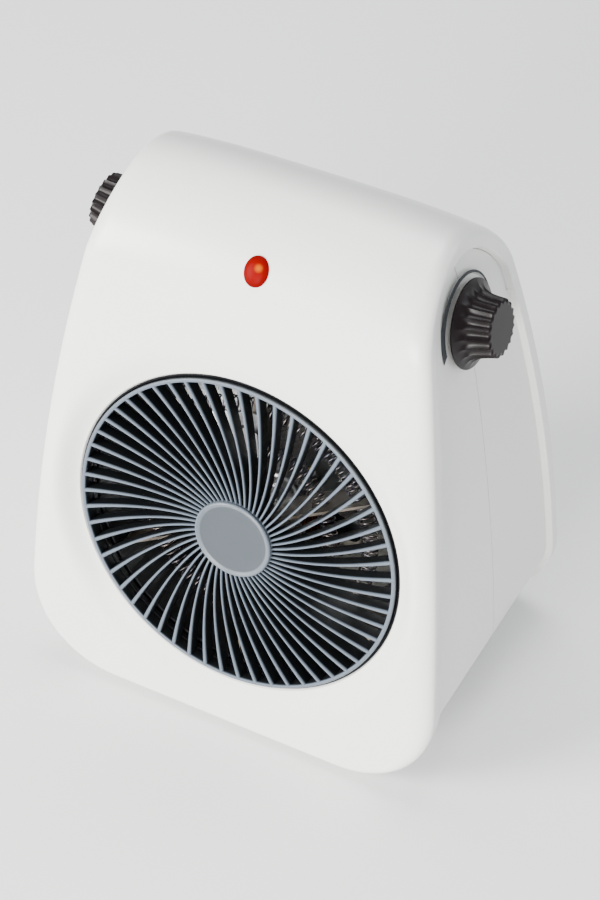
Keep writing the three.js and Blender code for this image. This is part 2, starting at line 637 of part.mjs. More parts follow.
// The space one coiled resistance wire takes up, as a plain ring.
function coilRing(ringRadius, radius) {
  const circle = range(9).map((i) => {
    const a = (i / 8) * 2 * Math.PI;
    return [ringRadius + radius * Math.cos(a), COIL_DEPTH + radius * Math.sin(a)];
  });
  return turned(circle, 28);
}
piece(fanFrame, "mica_frame", micaFrame(), "mica");
piece(fanFrame, "heating_coil_inner", coilRing(COIL_PITCH_RADII[0], COIL_RADIUS), "wire");
piece(fanFrame, "heating_coil_outer", coilRing(COIL_PITCH_RADII[1], COIL_RADIUS), "wire");

// Safety parts stand in front of the mica, in the air stream.
const CUTOUT_Y = 46;
const cutoutTag = (y0, y1) => block(-3, 3, y0, y1, -16.2, -15.2);
const cutout = join(rod(7.5, -16.4, -12.6, 24), cutoutTag(6, 14), cutoutTag(-14, -6));
piece(fanFrame, "thermal_cutout", cutout.translate(0, CUTOUT_Y, 0), "aluminium");
const fuse = turned([
  [0, -16], [0.6, -16], [0.6, -7], [2, -6], [2, 6], [0.6, 7], [0.6, 16], [0, 16],
], 12);
piece(fanFrame, "thermal_fuse", fuse.rotateX(Math.PI / 2).translate(-18, 24, -14), "ceramic");

// ---- Fan ----
function fanImpeller() {
  const hub = turned([
    [0, -60], [9, -60], [FAN_HUB, -58], [FAN_HUB, -46], [9, FAN_FRONT], [0, FAN_FRONT],
  ], 20);
  const outline = new THREE.Shape();
  outline.moveTo(6, -5);
  outline.lineTo(20, -13);
  outline.quadraticCurveTo(44, -24, FAN_RADIUS - 3, -19);
  outline.quadraticCurveTo(FAN_RADIUS + 2, 0, FAN_RADIUS - 6, 17);
  outline.quadraticCurveTo(40, 12, 20, 8);
  outline.lineTo(6, 5);
  outline.closePath();
  const blades = range(FAN_BLADES).map((i) =>
    slab(outline, -BLADE_SHEET / 2, BLADE_SHEET / 2, 5).rotateX(FAN_PITCH).translate(0, 0, FAN_DEPTH)
      .rotateZ((i / FAN_BLADES) * 2 * Math.PI));
  return cut(join(hub, ...blades), rod(SHAFT_RADIUS + GAP, -70, -30, 16));
}
piece(fanFrame, "fan_impeller", fanImpeller(), "aluminium");
const clip = tube(SHAFT_RADIUS + GAP, 5, FAN_FRONT + GAP, FAN_FRONT + 1.7, 16);
piece(fanFrame, "impeller_clip", clip, "steel");

// ---- Motor: shaded-pole, on a strap across the back of the duct ----
const STACK_FRONT = -78;
const STACK_BACK = -94;
const ROTOR_RADIUS = 12;
const BOLT_RADIUS = 1.6;
const BOLT_HOLE = BOLT_RADIUS + 0.4;
const BRACKET_SHEET = 2;
const BRACKET_FRONT = -72;
const BRACKET_REAR = -98;
const BEARING = { radius: 4.1, length: 5 };
const SHAFT_BACK = -104;
const SHAFT_FRONT = -41;
const STRAP_FRONT = DUCT_BACK - DUCT_SHEET - GAP;

const boltHoles = () => [-1, 1].map((side) => circleHole(side * BOLT_X, 0, BOLT_HOLE));

piece(fanFrame, "motor_shaft", rod(SHAFT_RADIUS, SHAFT_BACK, SHAFT_FRONT, 16), "steel");
const rotor = tube(SHAFT_RADIUS + GAP, ROTOR_RADIUS, STACK_BACK, STACK_FRONT, 24);
piece(fanFrame, "motor_rotor", rotor, "lamination");

function motorStator() {
  const shape = roundedRectangle(-28, 28, -38, 22, 4);
  shape.holes.push(circleHole(0, 0, ROTOR_RADIUS + 2 * GAP), ...boltHoles());
  shape.holes.push(new THREE.Path([
    new THREE.Vector2(-18, -26), new THREE.Vector2(-18, -17), new THREE.Vector2(18, -17),
    new THREE.Vector2(18, -26),
  ]));
  return slab(shape, STACK_BACK, STACK_FRONT, 6);
}
piece(fanFrame, "motor_stator", motorStator(), "lamination");
piece(fanFrame, "motor_winding", cut(
  block(-15, 15, -47, -17.6, STACK_BACK - 7, STACK_FRONT + 7),
  block(-16, 16, -38.4, -25.6, STACK_BACK - GAP, STACK_FRONT + GAP),
), "copper");

// Each bracket is a plate with a plain bearing standing through its middle.
[["front", BRACKET_FRONT], ["rear", BRACKET_REAR]].forEach(([end, face]) => {
  const shape = roundedRectangle(-28, 28, -9, 9, 6);
  shape.holes.push(circleHole(0, 0, BEARING.radius + 0.7), ...boltHoles());
  piece(fanFrame, "motor_bracket_" + end, slab(shape, face - BRACKET_SHEET, face, 4), "aluminium");
  const middle = face - BRACKET_SHEET / 2;
  const bush = [middle - BEARING.length / 2, middle + BEARING.length / 2];
  piece(fanFrame, "bearing_" + end, tube(SHAFT_RADIUS + GAP, BEARING.radius, ...bush, 16), "brass");
});

function motorStrap() {
  const shape = roundedRectangle(-74, 74, -9, 9, 4);
  shape.holes.push(circleHole(0, 0, 8), ...boltHoles());
  return slab(shape, STRAP_FRONT - 2, STRAP_FRONT, 4);
}
piece(fanFrame, "motor_strap", motorStrap(), "steel");

// Long bolts through the strap, the brackets and the laminations.
["left", "right"].forEach((hand, i) => {
  const x = (2 * i - 1) * BOLT_X;
  const head = STRAP_FRONT + GAP;
  const bolt = turned([
    [0, -106], [BOLT_RADIUS, -106], [BOLT_RADIUS, head], [BOLT_RADIUS + 2, head],
    [BOLT_RADIUS + 1.6, head + 2.4], [0, head + 2.6],
  ], 12);
  const seat = BRACKET_REAR - BRACKET_SHEET - GAP;
  const nut = hexNut(BOLT_RADIUS + GAP, 6, seat - 2.5, seat);
  piece(fanFrame, "motor_bolt_" + hand, bolt.translate(x, 0, 0), "steel");
  piece(fanFrame, "bolt_nut_" + hand, nut.translate(x, 0, 0), "steel");
});

// ---- Wiring ----
const TERMINALS = 4;
const TERMINAL_PITCH = 10;

function terminalBlock() {
  const half = (TERMINALS * TERMINAL_PITCH) / 2;
  const wells = range(TERMINALS).map((i) =>
    rod(2.2, 5, 14, 12).translate(TERMINAL_PITCH * (i + 0.5) - half, 0, 0));
  return cut(block(-half, half, -6, 6, 0, 12), ...wells);
}
piece(body, "terminal_block", terminalBlock().translate(-12, 56, 8), "ceramic");

export default part;
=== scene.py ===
"""An upright fan heater: white two-piece housing, round spiral grille, fluted side knobs.

Lengths are millimetres in the functions and become metres when a mesh is made. Heights z of the
housing count from its underside, which the feet lift above the surface.
"""
import json

import bmesh
import bpy
import numpy as np
from mathutils import Matrix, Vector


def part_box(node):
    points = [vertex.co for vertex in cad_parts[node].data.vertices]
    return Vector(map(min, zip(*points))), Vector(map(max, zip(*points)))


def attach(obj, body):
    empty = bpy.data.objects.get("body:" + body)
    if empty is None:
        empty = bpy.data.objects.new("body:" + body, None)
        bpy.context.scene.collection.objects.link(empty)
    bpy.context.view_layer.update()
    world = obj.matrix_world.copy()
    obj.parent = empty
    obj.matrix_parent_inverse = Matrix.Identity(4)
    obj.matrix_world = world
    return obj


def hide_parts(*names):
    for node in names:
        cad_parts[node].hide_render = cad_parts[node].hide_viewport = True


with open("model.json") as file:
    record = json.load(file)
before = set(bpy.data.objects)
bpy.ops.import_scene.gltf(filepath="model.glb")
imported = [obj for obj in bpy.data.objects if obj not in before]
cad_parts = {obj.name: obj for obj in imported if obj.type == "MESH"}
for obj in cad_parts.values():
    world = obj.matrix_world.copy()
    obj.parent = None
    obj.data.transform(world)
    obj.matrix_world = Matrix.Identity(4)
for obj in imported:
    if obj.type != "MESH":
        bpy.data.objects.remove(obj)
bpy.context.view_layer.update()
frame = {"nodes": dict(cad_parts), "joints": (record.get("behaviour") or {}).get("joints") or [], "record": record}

MM = 0.001


def box_mm(node):
    """Lowest and highest corner of a CAD node, in millimetres."""
    low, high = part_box(node)
    return np.array(low) / MM, np.array(high) / MM


# ---- Driving dimensions, taken from the frame where it holds them ----
COVER_LOW, COVER_HIGH = box_mm("front_cover")
FOOT = COVER_LOW[2]
HEIGHT = COVER_HIGH[2] - COVER_LOW[2]
HALF_WIDTH = COVER_HIGH[0]  # the cover's widest point, used as the half width at the base
HALF_DEPTH = -COVER_LOW[1]
TAPER, TAPER_POWER = 30.3, 1.81
LOWER_CORNER = 45.0
TOP_DROP, TOP_DROP_POWER = 3.6, 3.4
FRONT_SLOPE, FRONT_BOW = 0.0607, 0.000427
BACK_SLOPE, BACK_BOW = 0.0318, 0.000391
CAP_START = 219.6
CAP_LENGTH = 61.0  # length of the surface from CAP_START over to the crown
CROWN = CAP_START + CAP_LENGTH
PANEL_RECESS = 3.0
SEAM_Y = 3.8
SEAM_GAP, TIGHT = 0.5, 0.3  # gap down the sides, and how much of it stays under the band
BAND_END_Z = 205.0
WALL, RIM_WALL, FLOOR_WALL = 2.6, 6.0, 2.7

JOINTS = {joint["name"]: joint for joint in frame["joints"]}
FAN_AXIS = np.array(JOINTS["fan_spin"]["axis"])
GRILLE_LOW, GRILLE_HIGH = box_mm("front_grille")
OPENING, DISH = 79.4, 97.0
DISH_FLOOR, DISH_RISE, DISH_LIP = -6.6, 2.4, 0.9
HUB = 18.8
BLADES, SPIRAL = 55, np.radians(15)
BLADE_WIDTH_INNER, BLADE_WIDTH_OUTER = 1.15, 2.1
RING_INNER, RING_OUTER = 76.2, 78.1
GRILLE_FACE, GRILLE_BACK = -5.0, -11.0
LENS_Z, LENS_RISE = 233.9, 2.3
LENS_SHARE, LENS_OVAL = 0.88, 1.2  # of the CAD lens's width, and height over width
KNOB_LOW, KNOB_HIGH = box_mm("thermostat_knob")
KNOB_FLANGE = (KNOB_HIGH[1] - KNOB_LOW[1]) / 2
KNOB_GRIP, KNOB_START = 13.2, 0.3
KNOB_LENGTH = 14.4
KNOB_EDGE = 1.3  # how far the end's rounding reaches down the grip
FLANGE_THICKNESS = 0.9
FLUTES, FLUTE_DEPTH = 20, 1.15
PRINT_RADIUS, PRINT_THIN, PRINT_THICK = 20.9, 0.35, 3.5
PRINT_OFFSET_Y, PRINT_OFFSET_Z = 1.0, -0.9  # centre of the print from the centre of the knob
COIL_OUT = -26.0
COIL_RADIUS, COIL_WIRE, COIL_PITCH = 3.5, 0.42, 2.3
FAN_OUT, FAN_BLADES = -52.0, 5


def smooth(x, low, high):
    """0 below low, 1 above high, and 3t^2 - 2t^3 between."""
    t = np.clip((x - low) / (high - low), 0, 1)
    return t * t * (3 - 2 * t)


def mix(a, b, t):
    """a at t = 0 and b at t = 1."""
    return a + (b - a) * t


# ---- Frames ----
def front_y(z):
    """Front face: a straight slope plus a slight bow."""
    return -HALF_DEPTH + FRONT_SLOPE * z + FRONT_BOW * z * z


def back_y(z):
    """Back face, as the front but steeper and less bowed."""
    return HALF_DEPTH - BACK_SLOPE * z - BACK_BOW * z * z


def half_width(z):
    """Half width of the housing: it tapers with a power of the height."""
    return HALF_WIDTH - TAPER * (np.maximum(z, 0) / HEIGHT) ** TAPER_POWER


GRILLE_UP = np.array([0, FAN_AXIS[2], -FAN_AXIS[1]])
GRILLE_Z = (GRILLE_LOW[2] + GRILLE_HIGH[2]) / 2 - FOOT + 8 * FAN_AXIS[2]
FACE_CENTRE = np.array([0, front_y(GRILLE_Z), GRILLE_Z + FOOT])


def fan_point(x, up, out):
    """A point given across, up the face, and outwards along the fan's axis, from the face's centre."""
    x, up, out = np.broadcast_arrays(*map(np.asarray, (x, up, out)))
    return (x[..., None] * [1.0, 0, 0] + up[..., None] * GRILLE_UP + out[..., None] * FAN_AXIS + FACE_CENTRE)


class Control:
    """The frame of a knob: its axis out of the side panel, back along +Y, and up the panel."""

    def __init__(self, joint):
        self.axis = np.array(JOINTS[joint]["axis"])
        self.origin = np.array(JOINTS[joint]["pos_m"]) / MM
        self.back = np.array([0.0, 1.0, 0.0])
        self.up = np.array([-self.axis[2] * np.sign(self.axis[0]), 0, abs(self.axis[0])])

    def point(self, radius, angle, out):
        """Cylindrical place: angle 0 is towards the back and 90 degrees is up."""
        radius, angle, out = np.broadcast_arrays(*map(np.asarray, (radius, angle, out)))
        return (self.origin + (radius * np.cos(angle))[..., None] * self.back
                + (radius * np.sin(angle))[..., None] * self.up + out[..., None] * self.axis)


# ---- Meshes ----
def grid_faces(rows, columns, start=0, wrap_rows=False, wrap_columns=False):
    """Quads of a rows x columns grid of vertices, joined round where asked."""
    i = np.arange(rows if wrap_rows else rows - 1)[:, None]
    j = np.arange(columns if wrap_columns else columns - 1)[None, :]
    below, right = (i + 1) % rows, (j + 1) % columns
    quad = np.stack(np.broadcast_arrays(i * columns + j, i * columns + right,
                                        below * columns + right, below * columns + j), -1)
    return quad.reshape(-1, 4) + start


def make(name, grids, weld=0.0005, sharp=38.0, clean=True):
    """A mesh object from a list of (points in mm, faces); points that meet are welded."""
    points, faces, start = [], [], 0
    for grid, quads in grids:
        flat = np.asarray(grid, float).reshape(-1, 3)
        points.append(flat)
        faces.extend((quads + start).tolist())
        start += len(flat)
    mesh = bpy.data.meshes.new(name)
    mesh.from_pydata((np.concatenate(points) * MM).tolist(), [], faces)
    if clean:
        work = bmesh.new()
        work.from_mesh(mesh)
        bmesh.ops.remove_doubles(work, verts=work.verts, dist=weld * MM)
        bmesh.ops.recalc_face_normals(work, faces=work.faces)
        work.to_mesh(mesh)
        work.free()
    piece = bpy.data.objects.new(name, mesh)
    bpy.context.scene.collection.objects.link(piece)
    soften(piece, sharp)
    return piece


def soften(piece, sharp=38.0):
    """Smooth shading, broken at edges that turn by more than the given angle."""
    mesh = piece.data
    mesh.shade_smooth()
    mesh.set_sharp_from_angle(angle=np.radians(sharp))


def turned(profile, place, steps=128):
    """A profile of (radius, height) pairs turned about a frame's axis; place(x, y, height) puts it."""
    r, h = np.array(profile, float).T
    a = np.linspace(0, 2 * np.pi, steps, endpoint=False)[:, None]
    return place(r * np.cos(a), r * np.sin(a), h + 0 * a), grid_faces(steps, len(r), wrap_rows=True)


def boolean(piece, tools, operation):
    """Cuts or joins tool objects into the piece, for good, and removes the tools."""
    for tool in tools:
        change = piece.modifiers.new("cut", "BOOLEAN")
        change.object, change.operation, change.solver = tool, operation, "MANIFOLD"
    settled = piece.evaluated_get(bpy.context.evaluated_depsgraph_get())
    mesh = bpy.data.meshes.new_from_object(settled)
    piece.modifiers.clear()
    piece.data = mesh
    for tool in tools:
        bpy.data.objects.remove(tool)
    return piece


def copy_of(piece, name):
    """A second object with its own mesh."""
    twin = piece.copy()
    twin.data, twin.name = piece.data.copy(), name
    bpy.context.scene.collection.objects.link(twin)
    return twin


# ---- The housing ----
def cap_angle(p):
    """0 on the faces, growing to 90 degrees at the crown."""
    return np.clip((p - CAP_START) / CAP_LENGTH, 0, 1) * np.pi / 2


def height_at(p):
    """Height of the profile at a length p measured up the face and over the top."""
    return np.where(p < CAP_START, p, CAP_START + (HEIGHT - CAP_START) * np.sin(cap_angle(p)))


def edge_distance(x, p, inset=0.0, floor=0.0):
    """How far a place on the unrolled face is from the nearest side, lower corner or bottom edge."""
    z, x = height_at(p), np.abs(x)
    corner_x = half_width(LOWER_CORNER) - LOWER_CORNER
    side = half_width(z) - inset - x
    corner = LOWER_CORNER - inset - np.hypot(x - corner_x, LOWER_CORNER - z)
    low = np.where(x > corner_x, corner, np.minimum(z - floor, side))
    return np.maximum(np.where(z < LOWER_CORNER, low, side), 0)


def rolled(x, p, side, wall=0.0, inset=0.0, floor=0.0, extra=None):
    """A point of the housing's skin. The front (side -1) or back (side 1) face rolls over towards its
    edges along a quarter ellipse; wall sinks the whole skin, and extra is a further depth."""
    z, turn = height_at(p), cap_angle(p)
    front, back = front_y(z), back_y(z)
    y = (front + back) / 2 + side * (back - front) / 2 * np.cos(turn)
    reach, depth = roll_size(p, side)
    q = np.clip(1 - edge_distance(x, p, inset, floor) / reach, 0, 1)
    sink = depth * (1 - np.sqrt(1 - q * q)) + wall
    if extra is not None:
        sink = sink + extra
    outwards = np.clip(np.abs(x) / half_width(HEIGHT), 0, 1)
    drop = TOP_DROP * outwards ** TOP_DROP_POWER * smooth(p, 150, CROWN)
    return np.stack(np.broadcast_arrays(
        x, y - side * np.cos(turn) * sink, z - np.sin(turn) * sink - drop + FOOT), -1)


def roll_size(p, side):
    """How wide and how deep the edge roll is: wide at the front, tighter at the back and the foot."""
    crown = smooth(p, 200, CROWN)
    if side < 0:
        reach, depth = mix(3.5, 10.5, smooth(p, 8, 60)), mix(2.2, 4.4, smooth(p, 0, 50))
        return mix(reach, 6.0, crown), mix(depth, 3.6, crown)
    return mix(3.5, 6.0, crown), mix(2.5, 3.6, crown)


def outline(inset=0.0, floor=0.0):
    """Right half of the face's outline, unrolled: bottom, lower corner, side, and over along the crown.
    Returns x, p, and how much of the side panel's recess reaches each place."""
    corner_x = half_width(LOWER_CORNER) - LOWER_CORNER
    radius = LOWER_CORNER - inset
    turn = np.linspace(0, np.pi / 2, 19)[1:]
    bottom = np.linspace(0, corner_x, 15)
    side_p = np.concatenate([np.linspace(LOWER_CORNER, CAP_START, 38)[1:],
                             np.linspace(CAP_START, CROWN, 23)[1:]])
    top = (half_width(HEIGHT) - inset) * (1 - np.linspace(0, 1, 27)[1:] ** 1.5)
    side_x = half_width(height_at(side_p)) - inset
    x = np.concatenate([bottom, corner_x + radius * np.sin(turn), side_x, top])
    p = np.concatenate([bottom * 0 + floor, LOWER_CORNER - (LOWER_CORNER - floor) * np.cos(turn),
                        side_p, top * 0 + CROWN])
    recess = np.concatenate([bottom * 0, smooth(np.sin(turn), 0.0, 0.9), side_p * 0 + 1, top * 0 + 1])
    ends = len(bottom) + len(turn) + len(side_p)
    return x, p, recess, ends


def face_grid(side, wall, inset, floor):
    """A face as rings: from its middle, through the dish round the grille at the front, to the outline."""
    x, p, _, _ = outline(inset, floor)
    x, p = np.concatenate([x, -x[-2:0:-1]]), np.concatenate([p, p[-2:0:-1]])
    angle = np.arctan2(p - GRILLE_Z, x)
    across, up = np.cos(angle), np.sin(angle) * -FAN_AXIS[1]
    start = DISH - 5.5 * np.cos(angle) ** 4
    s = np.linspace(0, 1, 40)[:, None]
    g = 1 - (1 - s) ** 1.7
    rx, rp = mix(start * across, x, g), mix(GRILLE_Z + start * up, p, g)
    outer = rolled(rx, rp, side, wall, inset, floor)
    h = np.concatenate([np.linspace(-1, 0, 9)[:-1], np.linspace(0, 1, 25)[:-1]])[:, None]
    radius = np.where(h < 0, OPENING * (1 + h), mix(OPENING, start, np.maximum(h, 0)))
    h = np.maximum(h, 0)
    inner = rolled(radius * across, GRILLE_Z + radius * up, side, wall, inset, floor)
    if side < 0:
        lip = DISH_LIP * (1 - np.sqrt(np.clip(1 - (1 - h * 18).clip(0, 1) ** 2, 0, 1)))
        level = DISH_FLOOR + DISH_RISE * h - wall - lip
        dish = fan_point(radius * np.cos(angle), radius * np.sin(angle), level)
        inner = mix(dish, inner, smooth(h, 0.0, 1.0)[..., None])
    grid = np.concatenate([inner, outer])
    return grid, grid_faces(len(grid), grid.shape[1], wrap_columns=True)


def rim_width(p, side):
    """How far the band reaches round on to the side, seen from the side."""
    crown = smooth(p, CAP_START - 20, CROWN)
    wide = mix(24.0, 8.5, np.clip(p / CAP_START, 0, 1)) if side < 0 else 8.5 + 0 * p
    return mix(wide, 9.0, crown)


def side_grid(hand, wall, inset, floor, recessed):
    """The strip from the front's outline round the side to the back's: the band's edge, a step down to
    the panel, the panel, and up again. The front's step is crisp at the top and fades out lower down."""
    x, p, recess, ends = outline(inset, floor)
    x, p, recess = x[:ends], p[:ends], recess[:ends]
    columns = {}
    for side in (-1, 1):
        rim = rim_width(p, side)
        step = mix(14.0, 1.3, smooth(p, 60, 175)) if side < 0 else 1.3 + 0 * p
        depth = roll_size(p, side)[1]
        flank = mix(depth, rim - step, np.linspace(0, 1, 4)[:, None])
        down = mix(rim - step, rim, np.linspace(0, 1, 11)[1:, None])
        lift = np.concatenate([flank * 0, smooth(np.linspace(0, 1, 11)[1:, None], 0, 1) + down * 0])
        columns[side] = strip(x, p, side, wall, inset, np.concatenate([flank, down]) - depth,
                              lift * recess * PANEL_RECESS * recessed, floor)
    t = np.linspace(0, 1, 14)[1:-1, None, None]
    panel = mix(columns[-1][-1], columns[1][-1], t)
    panel[..., 0] = mix(columns[-1][-1], columns[1][-1], 0.5)[None, :, 0]
    grid = np.concatenate([columns[-1], panel, columns[1][::-1]])
    grid[..., 0] *= hand
    return grid, grid_faces(len(grid), grid.shape[1])


def strip(x, p, side, wall, inset, beyond, lift, floor):
    """Points of the strip past the face's edge, sunk by lift square to the outline."""
    base = rolled(x + 0 * beyond, p + 0 * beyond, side, wall, inset, floor, extra=beyond)
    z = height_at(p)
    corner_x = half_width(LOWER_CORNER) - LOWER_CORNER
    away = np.stack([np.maximum(x - corner_x, 0), np.minimum(z - LOWER_CORNER, 0)])
    away = away / np.maximum(np.hypot(*away), 1e-6)
    base[..., 0] -= lift * np.where(z < LOWER_CORNER, away[0], 1)
    base[..., 2] -= lift * np.where(z < LOWER_CORNER, away[1], 0)
    return base


def housing_block(name, wall=0.0, inset=0.0, floor=0.0, recessed=1.0):
    """The housing as one closed skin, or with wall, inset and floor the space inside it."""
    grids = [face_grid(side, wall, inset, floor) for side in (-1, 1)]
    grids += [side_grid(hand, wall, inset, floor, recessed) for hand in (-1, 1)]
    return make(name, grids, weld=0.002)


def along_y(x, z, radius, y0, y1, name="tool", steps=48):
    """A round bar along Y."""
    def place(a, b, h):
        return np.stack([x + a, h, z + FOOT + b], -1)
    return make(name, [turned([(0, y0), (radius, y0), (radius, y1), (0, y1)], place, steps)])


def prism(points, x0, x1, name="tool"):
    """A YZ outline pushed along X."""
    y, z = np.array(points, float).T
    ends = np.array([x0, x1])[:, None]
    ring = np.stack(np.broadcast_arrays(ends, y, z + FOOT), -1)
    walls = grid_faces(2, len(y), wrap_columns=True).tolist()
    caps = [list(range(len(y)))[::-1], list(range(len(y), 2 * len(y)))]
    mesh = bpy.data.meshes.new(name)
    mesh.from_pydata((ring.reshape(-1, 3) * MM).tolist(), [], walls + caps)
    work = bmesh.new()
    work.from_mesh(mesh)
    bmesh.ops.recalc_face_normals(work, faces=work.faces)
    work.to_mesh(mesh)
    work.free()
    piece = bpy.data.objects.new(name, mesh)
    bpy.context.scene.collection.objects.link(piece)
    return piece


def rear_region(grow):
    """Everything behind the seam and under the arch of the top band."""
    far = 150.0
    p = np.linspace(CAP_START - 20, CROWN, 60)
    z, turn, rim = height_at(p), cap_angle(p), rim_width(p, 1)
    front, back = front_y(z), back_y(z)
    tight = grow * TIGHT
    y = (front + back) / 2 + (back - front) / 2 * np.cos(turn) - np.cos(turn) * rim + tight
    z = z - np.sin(turn) * rim - TOP_DROP + tight
    keep = (z > BAND_END_Z + 2) & (y > SEAM_Y - grow + 1)
    arch = list(zip(y[keep], z[keep]))
    return prism([(SEAM_Y - grow, -far), (far, -far), (far, BAND_END_Z + tight),
                  (arch[0][0], BAND_END_Z + tight), *arch, (SEAM_Y - grow, arch[-1][1])], -far, far)


SCREWS = [box_mm("housing_screw_" + n) for n in ("lower_left", "lower_right", "upper_left", "upper_right")]
SCREWS = [((low + high) / 2)[[0, 2]] - [0, FOOT] for low, high in SCREWS]
SLOT_ROWS, SLOT_PITCH, SLOT_HEIGHT, SLOT_FIRST_Z = 11, 11.0, 4.6, 44.0
SLOT_INNER_X, SLOT_OUTER_X, SLOT_ROUNDING = 3.0, 62.0, 0.62


def slot_tool(x0, x1, z, height):
    """A bar with round ends that cuts one intake slot; the grid runs round the oval and along Y."""
    a = np.concatenate([np.linspace(-90, 90, 9), np.linspace(90, 270, 9)])
    centre = np.where(np.arange(18) < 9, x1 - height / 2, x0 + height / 2)
    ox = centre + height / 2 * np.cos(np.radians(a))
    oz = z + height / 2 * (1 + np.sin(np.radians(a))) + FOOT
    middle = np.array([(x0 + x1) / 2, z + height / 2 + FOOT])
    rows = [(0, 40.0), (1, 40.0), (1, 90.0), (0, 90.0)]
    grid = np.stack([np.stack([mix(middle[0], ox, k), ox * 0 + y, mix(middle[1], oz, k)], -1)
                     for k, y in rows])
    return make("tool", [(grid, grid_faces(4, 18, wrap_columns=True))])


def intake_slots():
    """Two columns of slots whose outer ends follow an oval."""
    tools = []
    middle = (SLOT_ROWS - 1) / 2
    for row in range(SLOT_ROWS):
        reach = SLOT_OUTER_X * np.sqrt(1 - ((row - middle) / (SLOT_ROWS * SLOT_ROUNDING)) ** 2)
        z = SLOT_FIRST_Z + row * SLOT_PITCH
        tools += [slot_tool(SLOT_INNER_X, reach, z, SLOT_HEIGHT),
                  slot_tool(-reach, -SLOT_INNER_X, z, SLOT_HEIGHT)]
    return tools


def fan_bar(radius, out0, out1):
    """A round bar about the fan's axis."""
    return make("tool", [turned([(0, out0), (radius, out0), (radius, out1), (0, out1)], fan_point, 204)])


def plate_pocket():
    """The opening in the floor that the base plate fills."""
    low, high = box_mm("base_plate")
    flange = 4.3
    low, high = low[:2] + flange, high[:2] - flange
    return prism([(low[1], -5), (high[1], -5), (high[1], 5), (low[1], 5)], low[0], high[0])


def control_bar(control, radius, out0, out1):
    """A round bar about a knob's axis."""
    def place(a, b, h):
        return control.point(np.hypot(a, b), np.arctan2(b, a), h)
    return make("tool", [turned([(0, out0), (radius, out0), (radius, out1), (0, out1)], place, 48)])


def housing(controls):
    """Front and rear covers: the skin less the space inside, parted at the seam, with every opening cut."""
    skin = housing_block("front_shell")
    space = housing_block("space", WALL, RIM_WALL, FLOOR_WALL, 0.0)
    boolean(space, [fan_bar(83.6, -17.0, 30.0)], "DIFFERENCE")
    boolean(skin, [space], "DIFFERENCE")
    boolean(skin, [fan_bar(OPENING, -40.0, 30.0), plate_pocket()]
            + [control_bar(c, 5.0, -12.0, 12.0) for c in controls], "DIFFERENCE")
    rear = copy_of(skin, "rear_shell")
    boolean(skin, [rear_region(SEAM_GAP / 2)], "DIFFERENCE")
    boolean(rear, [rear_region(-SEAM_GAP / 2)], "INTERSECT")
    low, high = box_mm("cord_bushing")
    middle = (low + high) / 2
    boolean(rear, intake_slots() + [along_y(middle[0], middle[2] - FOOT, 6.7, 50, 90)]
            + [along_y(x, z, 3.8, 40, 90) for x, z in SCREWS], "DIFFERENCE")
    for piece in (skin, rear):
        soften(piece, 30.0)
    return skin, rear


# ---- Grille ----
def blade_grid(index):
    """One blade: its middle line turns by SPIRAL per e-fold of radius, and its section is a rounded bar
    whose width grows outwards."""
    r = np.linspace(HUB - 1.5, RING_INNER + 1.0, 40)
    a = index * 2 * np.pi / BLADES + SPIRAL * np.log(r / RING_INNER)
    width = mix(BLADE_WIDTH_INNER, BLADE_WIDTH_OUTER, np.clip((r - 42) / 33, 0, 1) ** 1.4)
    section = np.array([(-0.5, -1), (-0.5, -0.16), (-0.42, -0.06), (-0.24, 0), (0.24, 0), (0.42, -0.06),
                        (0.5, -0.16), (0.5, -1)])
    across = section[:, 0][None] * width[:, None]
    depth = GRILLE_FACE + section[:, 1][None] * (GRILLE_FACE - GRILLE_BACK)
    lean = np.arctan(SPIRAL)
    side = a[:, None] + np.pi / 2 + lean
    x = (r * np.cos(a))[:, None] + across * np.cos(side)
    y = (r * np.sin(a))[:, None] + across * np.sin(side)
    return fan_point(x, y, depth + 0 * x), grid_faces(len(r), len(section), wrap_columns=True)


def grille():
    """Spiral blades between a rounded outer ring and the ring under the hub cap."""
    face, back = GRILLE_FACE, GRILLE_BACK
    ring = [(RING_INNER, back), (RING_INNER, face - 0.7), (RING_INNER + 0.25, face - 0.15),
            (RING_INNER + 0.7, face + 0.1), (RING_OUTER - 0.7, face + 0.1), (RING_OUTER - 0.2, face - 0.15),
            (RING_OUTER, face - 0.7), (RING_OUTER, back), (RING_INNER, back)]
    inner = [(HUB - 3, back), (HUB - 3, face), (HUB - 0.4, face), (HUB, face - 0.5), (HUB, back),
             (HUB - 3, back)]
    grids = [blade_grid(i) for i in range(BLADES)]
    grids += [turned(ring, fan_point, 220), turned(inner, fan_point, 110)]
    return make("spiral_grille", grids, weld=0.0002, sharp=32)


def hub_cap():
    """A flat satin disc inside a raised bevelled rim."""
    back, face = GRILLE_FACE + 0.1, GRILLE_FACE + 1.1
    profile = [(0, back), (HUB - 0.9, back), (HUB - 0.9, back + 0.35), (HUB, back + 0.4),
               (HUB, back + 1.0), (HUB - 0.3, back + 1.5), (HUB - 0.8, back + 1.75), (HUB - 1.3, back + 1.6),
               (HUB - 2.2, face + 0.05), (HUB - 2.4, face), (HUB * 0.5, face - 0.05), (0, face - 0.1)]
    return make("grille_hub_disc", [turned(profile, fan_point, 160)], sharp=28)


def bezel():
    """A near-black ring between grille and cover, with rounded edges; its black colour paints the shadow in the
    gap there.
    """
    low, face = -14.0, -6.3
    profile = [(75.6, low), (80.9, low), (80.9, -9.6), (79.3, -9.4), (79.3, face - 0.9), (79.15, face - 0.7),
               (78.6, face - 0.9), (78.4, face - 1.3), (78.4, -11.4), (75.6, -11.4), (75.6, low)]
    return make("bezel_ring", [turned(profile, fan_point, 220)], sharp=40)


